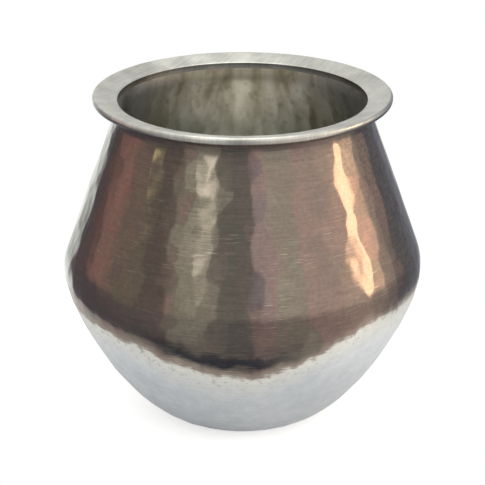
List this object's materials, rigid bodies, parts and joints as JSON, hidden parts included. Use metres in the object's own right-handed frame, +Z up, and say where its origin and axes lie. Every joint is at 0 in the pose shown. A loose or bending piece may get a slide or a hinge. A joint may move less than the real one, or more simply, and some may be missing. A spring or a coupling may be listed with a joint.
{
  "type": "tin cooking pot",
  "caption": "Hand-beaten tin cooking pot with a flat foot, a round bowl, a conical hammered shoulder and a broad dished rim around an open mouth.",
  "frame": {"origin": "centre of the flat foot, on the surface that the pot stands on", "axes": "+Z up along the pot's axis, out of the mouth; the picture looks along +Y from the front, with +X to the right"},
  "size_m": [0.1334, 0.1334, 0.1227],
  "materials": {
    "bright_tin": "beaten tin, bright, small hammer marks",
    "browned_tin": "beaten tin with a brown heat bloom, burnished hammer facets",
    "satin_tin": "satin tin, brushed around the ring",
    "tin_solder": "dull grey tin solder"
  },
  "bodies": {
    "root": {"base_plate": "bright_tin", "base_solder": "tin_solder", "bowl_wall": "bright_tin", "belly_solder": "tin_solder", "shoulder_wall": "browned_tin", "side_seam_solder": "tin_solder", "rim_ring": "satin_tin", "neck_solder": "tin_solder"}
  },
  "joints": []
}
